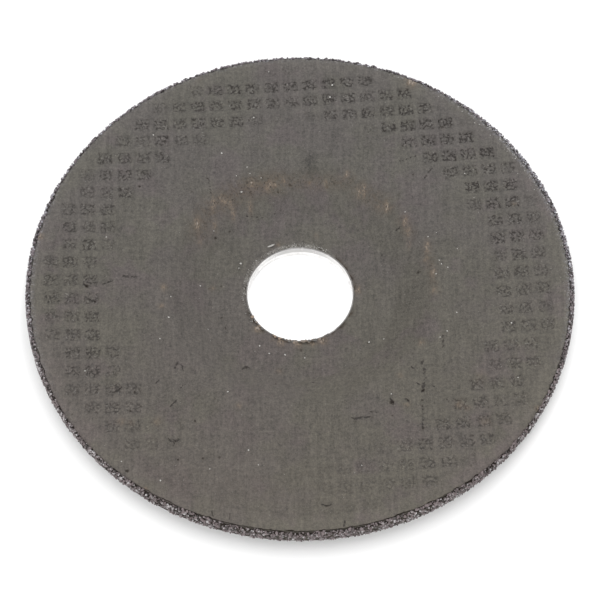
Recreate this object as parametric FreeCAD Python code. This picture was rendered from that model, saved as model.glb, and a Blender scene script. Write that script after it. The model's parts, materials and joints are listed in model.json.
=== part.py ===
import FreeCAD, Part
import math
import os

# A stone cutting-off wheel with a depressed centre, for a small angle grinder.
# Two real pieces: the moulded abrasive disc with its glass-fibre net, and the thin
# steel ring that lines the bore. The hollow side faces up and the raised back of the
# hub stands on z = 0, with the bore on the Z axis. Every length is in millimetres.

# Disc
wheel_diameter = 115.0
wheel_thickness = 3.2
bore_diameter = 22.23

# Depressed centre, as seen in the section
hub_depth = 4.3
hub_floor_radius = 20.0
hub_slope_run = 8.0
floor_bend = 2.0
lip_bend = 1.0

# Rough cutting rim: the front's smooth skin stops short of it, and the back's corner is only broken
skin_setback = 1.0
skin_step = 0.22
rim_break = 0.7
back_break = 0.2

# Bore ring, pressed from thin sheet with a flange on the hub's back
ring_sheet = 0.25
ring_bend = 0.15
ring_flange_diameter = 30.0
ring_setback = 0.1
ring_fit = 0.02

# Worn edge round the bore on the hollow side
bore_edge_break = 0.2

# Glass-fibre net, pressed into the front face near the rim
cell_across = 4.11
cell_along = 4.31
yarn_across = 0.85
yarn_along = 1.35
pocket_depth = 0.25
pocket_draft = 0.22
pocket_corner = 0.6
net_margin = 4.6
net_band = 11.5
net_open_edge = 12.0

# How the cloth lies: its offset from the bore, the lean and spread of its yarns and their drift
net_shift_across = 1.42
net_shift_along = 41.65
warp_lean = 0.072
warp_fan = 0.000078
weft_lean = 0.0844
weft_bow = 0.00057
weft_curl = 0.00000705
weft_crowd = 0.00000737

# Derived sizes
wheel_radius = wheel_diameter / 2
bore_radius = bore_diameter / 2
hub_slope = math.atan2(hub_depth, hub_slope_run)
lip_radius = hub_floor_radius + hub_slope_run
back_widening = wheel_thickness * math.tan(hub_slope / 2)
front_height = hub_depth + wheel_thickness
skin_radius = wheel_radius - skin_setback
ring_outer_radius = bore_radius + ring_sheet
ring_mouth_bend = ring_bend + ring_sheet * (2 - math.sqrt(2))
flange_radius = ring_flange_diameter / 2
net_outer_radius = wheel_radius - net_margin
net_inner_radius = net_outer_radius - net_band


def corner_arc(before, here, after, rounding):
    """The start, middle and end of the tangent arc that rounds one corner."""
    back = (before - here).normalize()
    ahead = (after - here).normalize()
    half_angle = back.getAngle(ahead) / 2
    reach = rounding / math.tan(half_angle)
    bisector = (back + ahead).normalize()
    middle = here + bisector * (rounding / math.sin(half_angle) - rounding)
    return here + back * reach, middle, here + ahead * reach


def rounded_outline(corners):
    """A closed wire in the XZ plane through (radius, height, rounding) corners."""
    points = [FreeCAD.Vector(radius, 0, height) for radius, height, _ in corners]
    edges = []
    stretches = []
    for index, (_, _, rounding) in enumerate(corners):
        here = points[index]
        if rounding == 0:
            stretches.append((here, here))
            continue
        after = points[(index + 1) % len(points)]
        start, middle, end = corner_arc(points[index - 1], here, after, rounding)
        edges.append(Part.Arc(start, middle, end).toShape())
        stretches.append((start, end))
    for index, (start, _) in enumerate(stretches):
        previous_end = stretches[index - 1][1]
        edges.append(Part.LineSegment(previous_end, start).toShape())
    return Part.Wire(Part.__sortEdges__(edges))


def turned(corners):
    """The solid that an outline sweeps about the bore's axis."""
    face = Part.Face(rounded_outline(corners))
    axis = FreeCAD.Vector(0, 0, 1)
    return face.revolve(FreeCAD.Vector(0, 0, 0), axis, 360)


def rim_corners():
    """The rim from back to front: broken corner, rough cutting band, edge of the skin."""
    high_shoulder = front_height - skin_step
    return [
        (wheel_radius - back_break, hub_depth, 0),
        (wheel_radius, hub_depth + back_break, 0),
        (wheel_radius, high_shoulder - rim_break, 0),
        (wheel_radius - rim_break, high_shoulder, 0),
        (skin_radius, high_shoulder, 0),
        (skin_radius, front_height, 0),
    ]


def disc_blank():
    """The moulded disc before the net marks its face."""
    hole_radius = ring_outer_radius + ring_fit
    recess_radius = flange_radius + ring_fit
    hub_corners = [
        (hole_radius + bore_edge_break, wheel_thickness, 0),
        (hole_radius, wheel_thickness - bore_edge_break, 0),
        (hole_radius, ring_sheet + ring_bend, 0),
        (hole_radius + ring_bend, ring_sheet, 0),
        (recess_radius, ring_sheet, 0),
        (recess_radius, 0, 0),
        (hub_floor_radius + back_widening, 0, floor_bend + wheel_thickness),
        (lip_radius + back_widening, hub_depth, lip_bend),
    ]
    front_corners = [
        (lip_radius, front_height, lip_bend + wheel_thickness),
        (hub_floor_radius, wheel_thickness, floor_bend),
    ]
    return turned(hub_corners + rim_corners() + front_corners)


def cell_centre(row, column):
    """Where the row's weft gap and the column's warp gap cross, found by going round a few times."""
    across = net_shift_across + cell_across * column
    along = net_shift_along - cell_along * row
    for _ in range(8):
        drift = weft_lean * across + weft_bow * across**2 - weft_curl * across**3
        along = net_shift_along - cell_along * row + drift - weft_crowd * along**3
        lean = warp_lean + warp_fan * across
        across = net_shift_across + cell_across * column - lean * along
    return across, along


def net_cells():
    """The cells whose pockets are open in the front face, with each one's turn."""
    reach = int(net_outer_radius / min(cell_across, cell_along)) + 2
    first_row = int(net_shift_along / cell_along)
    cells = []
    for row in range(first_row - reach, first_row + reach + 1):
        for column in range(-reach, reach + 1):
            across, along = cell_centre(row, column)
            in_band = net_inner_radius < math.hypot(across, along) < net_outer_radius
            if in_band and along > -net_open_edge:
                cells.append((across, along, math.degrees(math.atan(weft_lean))))
    return cells


def pocket_outline(inset, height):
    """One level of a pocket: a rectangle with its corners cut where the yarns cross."""
    half_across = (cell_across - yarn_across) / 2 - inset
    half_along = (cell_along - yarn_along) / 2 - inset
    short_across = half_across - pocket_corner
    short_along = half_along - pocket_corner
    points = [
        FreeCAD.Vector(half_across, short_along, height),
        FreeCAD.Vector(short_across, half_along, height),
        FreeCAD.Vector(-short_across, half_along, height),
        FreeCAD.Vector(-half_across, short_along, height),
        FreeCAD.Vector(-half_across, -short_along, height),
        FreeCAD.Vector(-short_across, -half_along, height),
        FreeCAD.Vector(short_across, -half_along, height),
        FreeCAD.Vector(half_across, -short_along, height),
    ]
    return Part.makePolygon(points + points[:1])


def pocket_tool():
    """The shape of one gap between the yarns, its walls sloped like the yarns' sides."""
    above_face = pocket_outline(-pocket_draft, pocket_depth)
    floor = pocket_outline(pocket_draft, -pocket_depth)
    return Part.makeLoft([above_face, floor], True, True)


def placed_pockets():
    """A pocket for every open cell of the net."""
    pocket = pocket_tool()
    pockets = []
    for across, along, turn in net_cells():
        place = FreeCAD.Vector(across, along, front_height)
        copy = pocket.copy()
        copy.Placement = FreeCAD.Placement(place, FreeCAD.Rotation(turn, 0, 0))
        pockets.append(copy)
    return pockets


def abrasive_wheel():
    """The moulded disc with the gaps of its net open in the front face."""
    return disc_blank().cut(placed_pockets())


def bore_ring():
    """The sheet-metal liner: a tube through the hub and a flange flush with its back."""
    ring_top = wheel_thickness - ring_setback
    corners = [
        (bore_radius, ring_top, 0),
        (bore_radius, ring_mouth_bend, 0),
        (bore_radius + ring_mouth_bend, 0, 0),
        (flange_radius, 0, 0),
        (flange_radius, ring_sheet, 0),
        (ring_outer_radius + ring_bend, ring_sheet, 0),
        (ring_outer_radius, ring_sheet + ring_bend, 0),
        (ring_outer_radius, ring_top, 0),
    ]
    return turned(corners)


def main():
    os.makedirs("parts", exist_ok=True)
    nodes = {"abrasive_wheel": abrasive_wheel(), "bore_ring": bore_ring()}
    for name, shape in nodes.items():
        shape.exportStep(os.path.join("parts", name + ".step"))
        print(name, "valid", shape.isValid(), "volume", round(shape.Volume, 1))
    print("pockets", len(net_cells()))


main()
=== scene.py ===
"""A worn stone cut-off wheel with a depressed centre, dressed for the camera.

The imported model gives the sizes. Each operator below models one piece, and the last
one sets up the pale floor, the soft lights and the camera.
"""

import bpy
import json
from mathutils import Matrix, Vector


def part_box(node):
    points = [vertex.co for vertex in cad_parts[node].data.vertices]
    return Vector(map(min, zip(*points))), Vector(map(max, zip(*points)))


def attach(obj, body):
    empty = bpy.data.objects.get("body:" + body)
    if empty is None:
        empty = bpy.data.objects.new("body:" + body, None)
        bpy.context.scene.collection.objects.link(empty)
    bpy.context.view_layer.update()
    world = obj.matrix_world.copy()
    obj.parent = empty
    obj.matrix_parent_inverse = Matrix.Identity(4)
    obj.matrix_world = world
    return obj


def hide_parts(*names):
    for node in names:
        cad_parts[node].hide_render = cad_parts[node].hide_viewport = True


bl_info = {
    "name": "Stone cut-off wheel",
    "version": (1, 0, 0),
    "blender": (4, 5, 0),
    "location": "View3D > Sidebar > Cut-off wheel",
    "description": "Models a depressed-centre abrasive wheel with its net, rim grains and bore ring",
    "category": "Mesh",
}

import json
import math
import random

import bmesh
import bpy
import numpy as np
from bpy.props import FloatProperty, FloatVectorProperty, IntProperty, PointerProperty
from mathutils import Euler, Matrix, Vector, noise

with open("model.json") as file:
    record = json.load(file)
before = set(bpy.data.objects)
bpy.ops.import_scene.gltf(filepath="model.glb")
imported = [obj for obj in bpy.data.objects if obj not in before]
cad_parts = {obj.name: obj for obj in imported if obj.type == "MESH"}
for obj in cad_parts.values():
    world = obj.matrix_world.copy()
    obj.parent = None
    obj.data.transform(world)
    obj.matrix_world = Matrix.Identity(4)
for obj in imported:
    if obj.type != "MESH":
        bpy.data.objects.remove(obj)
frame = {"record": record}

MM = 0.001
MOUNTS = {mount["name"]: mount for mount in frame["record"]["mounts"]}
DISC_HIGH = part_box("abrasive_wheel")[1]
RING_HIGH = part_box("bore_ring")[1]
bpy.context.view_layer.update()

# How finely each turned zone of the disc is cut, in steps round the axis
SLICES = 20
HUB_STEPS = 280
DISH_STEPS = 480
NET_STEPS = 1080
RIM_STEPS = 560
RING_STEPS = 240

# Where the front face's zones begin and end, from the axis
HUB_END = 20.2 * MM
DISH_SPAN = (20.6 * MM, 41.0 * MM)
NET_SPAN = (41.3 * MM, 53.8 * MM)
MARGIN_START = 54.1 * MM

# How far the disc's own wall and its corners lie behind the rim's grains
CORE_SETBACK = 0.36 * MM
CORNER_INSET = 0.10 * MM

# Points nearer than the first are welded, and ones nearer than the second lie on a zone's end
WELD_REACH = 0.002 * MM
END_REACH = 0.01 * MM

# The ring's worn upper edge, the flange's broken corner, and the bend that still shades smooth
MOUTH_WEAR = 0.06 * MM
FLANGE_BREAK = 0.08 * MM
SMOOTH_BEND = math.radians(40)

# How deep a rim grain lies, in shares of its radius: anywhere in the span beside the skin,
# and further out at one of three depths, give or take the spread
SHALLOW_BED = (0.15, 0.90)
BED_DEPTHS = (0.25, 0.9, 1.3)
BED_SPREAD = 0.15

# How far from the skin the shallow bed reaches, and how far pale dust fills the moat
SHALLOW_REACH = 1.3 * MM
MOAT_FILL = 0.42 * MM

# How fast the moat's width, the rim's lumps and its small clods change round the wheel
MOAT_RATE = 22
LUMP_RATE = 30
CLOD_RATE = 92

# Rim grains darker than this stay dark, and take no dust
DARKEST_DUSTED = 0.28

# How far inside the wheel's reach the grains are held
REACH_SPARE = 0.02 * MM

# How many small grains lie round the bore, on the ring's edge and beside the far rim
BORE_CRUMBS = 150
RING_CRUMBS = 38
MARGIN_GRAINS = 90

# Marks on the front face, in millimetres from the bore's axis: x across, y away from the viewer

# Rust rubbed into the upper part of the hollow's slope: place, half length, strength
RUST_DASHES = (
    (-21.8, 15.0, 1.4, 1.0), (-18.4, 19.6, 1.7, 0.8), (-16.8, 21.2, 0.8, 0.8),
    (-16.0, 20.7, 0.7, 0.8), (-14.9, 20.4, 0.9, 0.7), (-14.2, 18.6, 1.2, 0.7),
    (-18.1, 15.3, 1.2, 0.5), (-10.6, 20.4, 1.3, 0.6), (-10.4, 24.9, 0.8, 0.9),
    (-7.0, 24.4, 0.9, 0.7), (-6.3, 25.1, 0.6, 0.9), (-5.3, 24.9, 0.6, 0.7),
    (-3.5, 25.9, 0.7, 0.6), (2.0, 25.4, 0.6, 0.4), (5.5, 25.2, 0.8, 0.6),
    (10.0, 26.8, 0.6, 0.8), (12.5, 22.9, 1.0, 0.8), (13.6, 23.2, 1.4, 0.8),
    (16.6, 19.5, 0.4, 0.6), (18.4, 19.1, 1.0, 1.0), (19.0, 18.7, 0.5, 0.6),
    (22.3, 15.2, 1.2, 1.0), (22.9, 13.2, 0.9, 0.7), (23.0, 10.6, 1.2, 0.3),
    (26.75, 8.9, 1.5, 0.8), (26.5, 6.2, 0.5, 0.7), (27.9, 3.0, 1.0, 0.8),
    (27.9, -1.5, 0.6, 0.6), (25.1, -14.0, 0.8, 0.55), (-28.5, -0.8, 0.7, 0.7),
    (-28.9, -5.2, 0.4, 0.6), (-21.1, 11.3, 0.8, 0.4), (3.5, 14.0, 0.6, 0.3),
    (-4.3, -18.3, 0.4, 0.5), (-12.5, -28.5, 0.5, 0.5), (21.9, -28.2, 0.4, 0.5),
    (12.1, 0.9, 0.9, 0.9), (20.6, -21.5, 0.4, 0.5), (-18.5, 1.3, 0.4, 0.5),
)

# Rounder rust stains: place, radius, strength
RUST_STAINS = (
    (24.2, 50.4, 1.5, 1.0), (-55.0, 11.4, 0.9, 0.9), (48.4, -29.0, 0.6, 0.9),
    (32.6, -28.2, 1.1, 0.60), (34.2, -29.0, 0.8, 0.50), (-36.4, -32.1, 1.0, 0.50),
    (-29.1, -32.1, 1.0, 0.55), (-34.3, -32.4, 0.7, 0.45), (45.5, 19.6, 0.6, 0.6), (37.8, -32.1, 1.2, 0.4),
    (36.9, -21.8, 1.6, 0.3), (-8.8, -8.3, 1.0, 1.0), (-5.6, -10.9, 0.7, 0.4),
    (-4.0, -11.5, 1.0, 0.9), (-0.4, -12.0, 1.0, 0.8), (2.5, -11.8, 0.9, 0.8),
    (4.6, -11.1, 1.2, 0.9), (-31.2, -47.5, 0.8, 0.8), (30.8, 38.6, 0.5, 0.3),
    (-22.0, 51.0, 0.9, 0.3), (17.6, 19.0, 1.3, 0.4), (-16.4, 19.6, 1.8, 0.3),
    (-9.6, 25.0, 1.0, 0.5), (-5.8, 24.8, 1.0, 0.5), (-4.6, 11.9, 0.7, 0.7),
)

# Wide brown tint round the rust: two ends, half width, strength
BROWNED = (
    (-21.6, 13.4, -19.2, 19.0, 2.4, 0.60), (-16.6, 20.6, -11.4, 23.8, 2.6, 0.75),
    (-10.9, 24.3, -4.6, 25.5, 2.2, 1.00), (-3.6, 25.7, 10.4, 25.4, 1.7, 0.60),
    (12.6, 23.4, 18.4, 19.4, 2.0, 0.60), (21.6, 15.8, 23.2, 12.6, 1.3, 0.60),
    (26.9, 8.6, 28.4, -1.8, 1.0, 0.60), (-26.5, -46.0, 6.0, -49.0, 7.0, 0.12),
)

# Cracks as runs of points, each with how deeply it shows
CRACKS = (
    (1.6, (25.3, -18.2), (25.0, -18.9)), (1.6, (25.5, -19.9), (25.6, -21.2)),
    (0.7, (25.9, -22.1), (25.6, -22.9)), (1.6, (25.5, -23.2), (25.4, -24.2), (25.1, -25.3)),
    (0.4, (22.9, -19.6), (24.4, -20.5)), (0.5, (23.4, -23.1), (24.8, -23.8)),
    (1.2, (26.8, -23.8), (27.5, -24.2)), (0.6, (27.9, -24.7), (28.3, -25.4)),
    (0.7, (25.0, -28.4), (25.1, -30.0), (25.0, -33.2)),
    (0.9, (29.6, -12.3), (29.6, -13.6), (29.5, -14.8)),
    (1.0, (18.5, -26.9), (18.9, -27.6), (19.2, -28.5)),
    (1.1, (21.6, -27.0), (22.5, -27.6)), (0.8, (29.6, -26.2), (30.3, -27.4)),
    (1.0, (10.6, -31.4), (11.5, -31.5), (12.3, -31.2), (13.4, -31.2), (14.4, -31.0)),
    (0.4, (14.0, -29.9), (16.3, -30.1)),
    (0.9, (28.2, 28.2), (27.3, 27.0), (26.5, 25.9)),
    (0.7, (21.0, 30.2), (22.3, 30.4), (24.8, 31.4)),
    (0.8, (-19.5, 25.7), (-19.2, 23.9), (-19.0, 22.1)),
    (0.0, (-11.9, 18.4), (-7.3, 18.5), (-4.1, 20.1)),
    (1.0, (-41.2, -0.1), (-40.2, 0.4), (-38.9, 0.8)),
    (1.4, (-37.1, 1.9), (-35.6, 1.6), (-34.1, 1.6)),
    (0.7, (-45.2, -0.1), (-44.3, -0.9)),
    (0.9, (-44.4, -3.5), (-42.7, -4.2)),
    (0.8, (21.2, 14.5), (20.3, 13.8)),
    (1.0, (-26.4, -28.7), (-25.3, -27.4)),
    (0.9, (-37.9, -25.3), (-36.6, -24.3)),
    (0.8, (-29.6, -23.4), (-28.7, -22.3)), (0.9, (-25.9, -20.1), (-25.1, -18.5)),
    (0.6, (-24.7, -19.1), (-24.2, -19.3), (-24.1, -20.4)), (0.5, (-24.4, -24.4), (-23.8, -23.3)),
    (0.7, (-26.7, -36.0), (-26.2, -36.6)), (0.8, (-25.6, -36.4), (-25.2, -36.6), (-24.5, -36.1)),
    (0.5, (-25.8, -36.3), (-25.5, -37.2), (-25.7, -37.7)),
    (0.8, (-11.9, -18.4), (-11.1, -17.3), (-10.4, -18.1)),
    (0.6, (1.9, -21.2), (3.6, -21.6)),
    (0.7, (4.4, -50.6), (5.3, -51.1), (6.2, -50.7)),
    (0.4, (-17.6, -52.1), (-17.4, -53.5)),
    (0.5, (-14.0, -52.4), (-14.1, -54.3)),
    (0.8, (9.0, -54.3), (8.8, -55.4)),
)

# Dark pits torn out of the skin: place, radius
PITS = (
    (14.1, -11.7, 0.45), (-11.1, -17.8, 0.45), (-16.4, -5.7, 0.45), (-15.6, -8.2, 0.45),
    (0.2, -13.4, 0.50), (-5.0, -22.0, 0.30), (25.1, 3.6, 0.45), (-19.8, 25.7, 0.45),
    (18.8, -27.7, 0.70), (22.2, -27.2, 0.40), (25.0, -33.6, 0.50), (25.2, -25.0, 0.60),
    (25.0, -27.2, 0.50), (25.0, -28.4, 0.45), (18.9, -30.8, 0.40), (18.3, -16.7, 0.30),
    (11.2, -32.3, 0.45), (14.7, -31.1, 0.40), (29.5, -26.9, 0.35), (29.5, -14.8, 0.40),
    (-23.1, 22.5, 0.45), (-16.8, 22.1, 0.35), (-29.0, 15.1, 0.45), (-17.9, 12.9, 0.50),
    (-15.0, 14.8, 0.40), (-23.1, 14.6, 0.40), (-22.5, 13.8, 0.35), (-18.2, 18.0, 0.35),
    (-10.5, 23.0, 0.45), (-4.7, 23.6, 0.40), (-2.1, 25.0, 0.50), (2.0, 25.3, 0.45),
    (5.8, 24.6, 0.45), (7.5, 25.1, 0.35), (-4.1, 20.1, 0.30), (24.3, 26.8, 0.45),
    (21.0, 21.8, 0.45), (31.0, 14.7, 0.40), (24.8, 3.7, 0.50), (17.3, 9.4, 0.35),
    (-34.2, 23.8, 0.45), (-25.2, 1.4, 0.35), (-36.7, -1.0, 0.35), (-19.1, 1.2, 0.40),
    (-16.6, 1.8, 0.45), (-44.6, -0.5, 0.60), (-42.7, -4.2, 0.40), (-34.6, -29.7, 0.45),
    (-32.5, -28.7, 0.40), (-33.9, -25.3, 0.45), (-28.0, -27.6, 0.35), (-20.5, -26.2, 0.40),
    (-17.5, -26.9, 0.35), (-17.2, -28.5, 0.35), (-21.4, -32.0, 0.45), (-25.3, -36.5, 0.35),
    (-24.7, -40.7, 0.45), (-19.6, -40.4, 0.45), (-16.3, -40.2, 0.45), (-34.9, -43.2, 0.60),
    (34.5, -42.0, 0.40), (-46.5, -30.5, 0.35), (5.3, -51.0, 0.40), (10.2, -26.0, 0.30),
)

# Soft dark strokes, of which the second and third are painted shade along the hollow's left and right
# slopes: two ends, half width, strength
SMUDGES_AND_SLOPE_SHADE = (
    (2.4, 30.2, 2.4, 28.0, 1.7, 0.75),
    # Painted shade along the hollow's left and right slopes
    (-26.0, -2.6, -24.2, -12.4, 0.8, 0.30),
    (26.0, 6.0, 24.8, -12.6, 1.6, 0.12),
    (17.3, 9.4, 17.2, 7.4, 0.7, 0.25),
    (-25.5, 14.5, -25.4, 7.2, 0.25, -0.45),
    (23.0, 13.8, 23.2, 9.2, 0.22, -0.60),
    (23.2, 9.0, 23.1, 6.0, 0.22, 0.25),
    (28.1, 4.5, 28.4, -2.0, 0.22, -0.40),
    (26.6, 25.6, 26.4, 20.5, 0.25, 0.14),
)

# Pale grit showing in the face: place, radius
WHITE_SPECKS = (
    (-11.3, 28.6, 0.26), (-10.7, 27.0, 0.30), (-13.6, 26.4, 0.26), (-12.5, 23.0, 0.42),
    (-16.8, 32.1, 0.32), (-8.3, 26.1, 0.24), (7.0, 49.5, 0.34), (6.5, 46.4, 0.30),
    (-10.0, 41.2, 0.30), (-31.6, 36.7, 0.30), (-40.9, 11.3, 0.28), (-27.3, -7.9, 0.40),
    (-29.0, -13.0, 0.24), (-21.0, 1.6, 0.28), (-12.5, 7.3, 0.44), (-12.9, 6.2, 0.26),
    (-18.3, 14.3, 0.26), (-27.0, -2.8, 0.26), (-8.4, -12.4, 0.30), (-6.4, -14.2, 0.30),
    (-3.1, -14.5, 0.40), (1.0, -15.2, 0.24), (14.4, -11.5, 0.38), (17.5, -11.0, 0.28),
    (22.3, 17.5, 0.24), (27.0, 11.4, 0.26), (29.3, 5.7, 0.30), (29.7, 4.8, 0.24),
    (31.0, 4.0, 0.30), (28.5, 2.4, 0.26), (33.1, 8.5, 0.20), (32.6, -6.8, 0.30),
    (30.5, -11.2, 0.34), (29.0, -12.6, 0.24), (43.9, -9.3, 0.32), (18.7, -25.8, 0.24),
    (-28.1, -45.4, 0.28), (-36.1, -41.1, 0.24), (-14.8, -25.3, 0.28), (-10.4, -38.6, 0.28),
    (-18.2, -42.8, 0.26), (-8.4, -41.9, 0.22), (44.8, -22.0, 0.26), (28.8, 12.4, 0.20),
    (-19.2, -8.8, 0.22), (35.2, 27.0, 0.22), (-44.2, -20.5, 0.22), (-6.8, 53.0, 0.20),
    (37.0, 21.0, 0.20), (12.5, -42.0, 0.20),
)

# Where the net shows more or less than elsewhere: bearing and spread in degrees, change
NET_SHOWS = ((50.0, 26.0, 0.42), (88.0, 16.0, 0.12), (-18.0, 24.0, -0.20), (-140.0, 18.0, 0.26))

# Where pale dust lies on the rim: bearing and spread in degrees, thickness
FROSTED = ((34.0, 24.0, 1.0), (100.0, 36.0, 0.35), (178.0, 24.0, 0.50), (-2.0, 14.0, 0.45))

# Where the rim's grains stand out furthest: bearing and spread in degrees, share of their loss regained
STANDING = ((42.0, 22.0, 0.70), (122.0, 14.0, 0.60))

# Where painted light lightens the hollows of the rim's wall: bearing and spread in degrees, share
WALL_PAINTED_LIGHT = ((-82.0, 32.0, 0.5),)

# The sliver of torn fibre that stands beside the bore: place, length, width, turn and dip in degrees
BORE_SLIVER = (-6.1, 11.55, 2.0, 0.46, 17.0, -12.0)

# The soft lights, each with its place and width in metres
LAMPS = (
    ("overhead", (0.0, 0.0, 1.1), 0.9),
    ("beyond", (0.35, 0.85, 0.65), 0.6),
    ("before", (-0.35, -0.85, 0.65), 0.6),
)


def number_setting(name, description, default, **more):
    """A number that a user may change."""
    return FloatProperty(name=name, description=description, default=default, **more)


def length_setting(name, description, default):
    """A length that a user may change."""
    return number_setting(name, description, default, precision=6, unit="LENGTH")


def colour_setting(name, description, default):
    """A colour that a user may change."""
    return FloatVectorProperty(name=name, description=description, default=default, subtype="COLOR")


class WheelForm(bpy.types.PropertyGroup):
    """The disc's section. The frame gives the defaults that it holds."""

    wheel_radius: length_setting(
        "Wheel radius", "From the axis to the rim's outermost grains", max(DISC_HIGH.x, DISC_HIGH.y))
    front_face: length_setting("Front face", "Height of the front face at the rim", DISC_HIGH.z)
    hub_face: length_setting(
        "Hub face", "Height of the hollow's floor, which is the disc's thickness",
        MOUNTS["front_seat"]["pos_m"][2])
    hub_floor: length_setting("Hub floor", "Radius of the hollow's flat floor", 20 * MM)
    slope_run: length_setting("Slope run", "How far the slope takes to reach the front face", 8 * MM)
    floor_bend: length_setting(
        "Floor bend", "Bend radius at the foot of the slope, on the front", 2 * MM)
    lip_bend: length_setting("Lip bend", "Bend radius at the top of the slope, on the back", 1 * MM)
    skin_setback: length_setting(
        "Skin setback", "How far the front's smooth skin stops short of the rim", 1 * MM)
    skin_step: length_setting("Skin step", "Height of the skin's broken edge", 0.22 * MM)
    rim_break: length_setting("Rim break", "Width of the rim's broken corner on the front", 0.7 * MM)
    back_break: length_setting("Back break", "Width of the rim's broken corner on the back", 0.2 * MM)
    bore_radius: length_setting(
        "Bore radius", "Inside radius of the steel ring", MOUNTS["bore"]["dims"]["r_mm"] * MM)
    ring_sheet: length_setting("Ring sheet", "Thickness of the ring's sheet steel", 0.25 * MM)
    ring_bend: length_setting("Ring bend", "Bend radius between the ring's tube and flange", 0.15 * MM)
    ring_fit: length_setting("Ring fit", "Room between the ring and the disc", 0.02 * MM)
    flange_radius: length_setting(
        "Flange radius", "Outside radius of the ring's flange", max(RING_HIGH.x, RING_HIGH.y))
    ring_top: length_setting("Ring top", "Height of the ring's upper end", RING_HIGH.z)


class NetWeave(bpy.types.PropertyGroup):
    """The glass-fibre net pressed into the front face. Lengths are in millimetres."""

    across: number_setting("Cell across", "Warp yarn spacing", 4.11)
    along: number_setting("Cell along", "Weft yarn spacing", 4.31)
    yarn_across: number_setting("Warp yarn", "Width of a warp yarn", 0.85)
    yarn_along: number_setting("Weft yarn", "Width of a weft yarn", 1.35)
    shift_across: number_setting("Shift across", "The net's offset in X", 1.42)
    shift_along: number_setting("Shift along", "The net's offset in Y", 41.65)
    warp_lean: number_setting("Warp lean", "Slope of the warp yarns", 0.072)
    warp_fan: number_setting("Warp fan", "Spread of the warp", 7.8e-5, precision=8)
    weft_lean: number_setting("Weft lean", "Slope of the weft yarns", 0.0844)
    weft_bow: number_setting("Weft bow", "Bow of the weft", 0.00057, precision=6)
    weft_curl: number_setting("Weft curl", "Curl of the weft", 7.05e-6, precision=9)
    weft_crowd: number_setting(
        "Weft crowd", "How the weft draws together far from the bore", 7.37e-6, precision=9)
    inner: number_setting("Inner edge", "Radius where open cells begin", 41.4)
    outer: number_setting("Outer edge", "Radius where open cells end", 52.9)
    depth: number_setting("Gap depth", "Depth of a gap's floor", 0.18)
    faint_splay: number_setting(
        "Faint splay", "How far the warp spreads where the net is only faint", 0.031)
    faint_lift: number_setting("Faint lift", "How far the weft shifts there, in millimetres", 0.18)
    bare_bearing: number_setting(
        "Bare bearing", "Where resin has closed the net, in degrees from +X", -103.0)
    bare_width: number_setting("Bare width", "Spread of that part, in degrees", 38.0)


class RimGrit(bpy.types.PropertyGroup):
    """The broken grains of the cutting rim."""

    count: IntProperty(name="Grains", description="Grains bedded in the rim", default=9000)
    smallest: length_setting("Smallest", "Radius of the smallest grains", 0.15 * MM)
    largest: length_setting("Largest", "Radius of the largest grains", 0.44 * MM)
    moat: length_setting("Moat", "Dark gap between the skin and the first grains", 0.15 * MM)
    seed: IntProperty(name="Seed", description="Start of the random draws", default=7)


class Finishes(bpy.types.PropertyGroup):
    """Colours of the wheel's finishes."""

    skin: colour_setting("Skin", "Cured resin skin", (0.0650, 0.0578, 0.0518))
    olive: colour_setting("Olive", "Yellowish drift in the skin", (0.0655, 0.0598, 0.0500))
    mauve: colour_setting("Mauve", "Purplish drift in the skin", (0.0665, 0.0568, 0.0530))
    warm_cast: colour_setting("Warm cast", "Cast of the near half", (1.052, 1.034, 1.008))
    cool_cast: colour_setting("Cool cast", "Cast of the far half", (1.016, 1.034, 1.060))
    # The dark of open grain and pits, also laid as painted shade in the rim's moat and between grains in
    # the net's gaps
    pit: colour_setting("Pit", "Open grain in the net's gaps", (0.020, 0.0165, 0.0145))
    rust: colour_setting("Rust", "Rust rubbed into the skin", (0.185, 0.138, 0.100))
    stain: colour_setting("Stain", "Brown stain round the rust", (0.082, 0.0625, 0.045))
    grit: colour_setting("Grit", "Broken grains at the rim", (0.138, 0.109, 0.110))
    pale_grit: colour_setting("Pale grit", "Light grains at the rim", (0.40, 0.385, 0.39))
    frost: colour_setting("Frost", "Bluish dust of grains on the far margin", (0.150, 0.153, 0.172))
    chill: colour_setting("Chill", "Cast of the far rim's grains", (0.95, 0.99, 1.07))
    speck: colour_setting("Speck", "Light grains in the face", (0.36, 0.35, 0.33))
    tin: colour_setting("Tin", "Tinned steel of the bore ring", (0.90, 0.89, 0.88))
    # Painted light: the ring's upper part is laid in this duller tin, while its lower part keeps the
    # bright tin as a painted reflection of the floor; it also colours the dull patches
    dull_and_shaded_tin: colour_setting("Dull tin", "Worn upper part of the bore ring", (0.52, 0.51, 0.505))
    crust: colour_setting("Crust", "Resin dust on the ring's upper edge", (0.125, 0.119, 0.112))
    floor: colour_setting("Floor", "Studio floor", (0.90, 0.90, 0.90))


class StudioSetup(bpy.types.PropertyGroup):
    """Camera and lights."""

    distance: length_setting("Camera distance", "From the centre of the front face", 0.6)
    elevation: number_setting(
        "Camera elevation", "Above the front face", math.radians(60.81), subtype="ANGLE")
    dip: number_setting(
        "Camera dip", "How far the camera looks below the face's centre",
        math.radians(0.325), subtype="ANGLE")
    lens: number_setting("Lens", "Focal length in millimetres", 172.17)
    sky: number_setting("Sky", "Strength of the even light all round", 1.0)
    overhead: number_setting("Overhead", "Power of the light above", 4.0, subtype="POWER")
    beyond: number_setting("Beyond", "Power of the light from the far side", 4.5, subtype="POWER")
    before: number_setting("Before", "Power of the light from the near side", 4.5, subtype="POWER")


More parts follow.
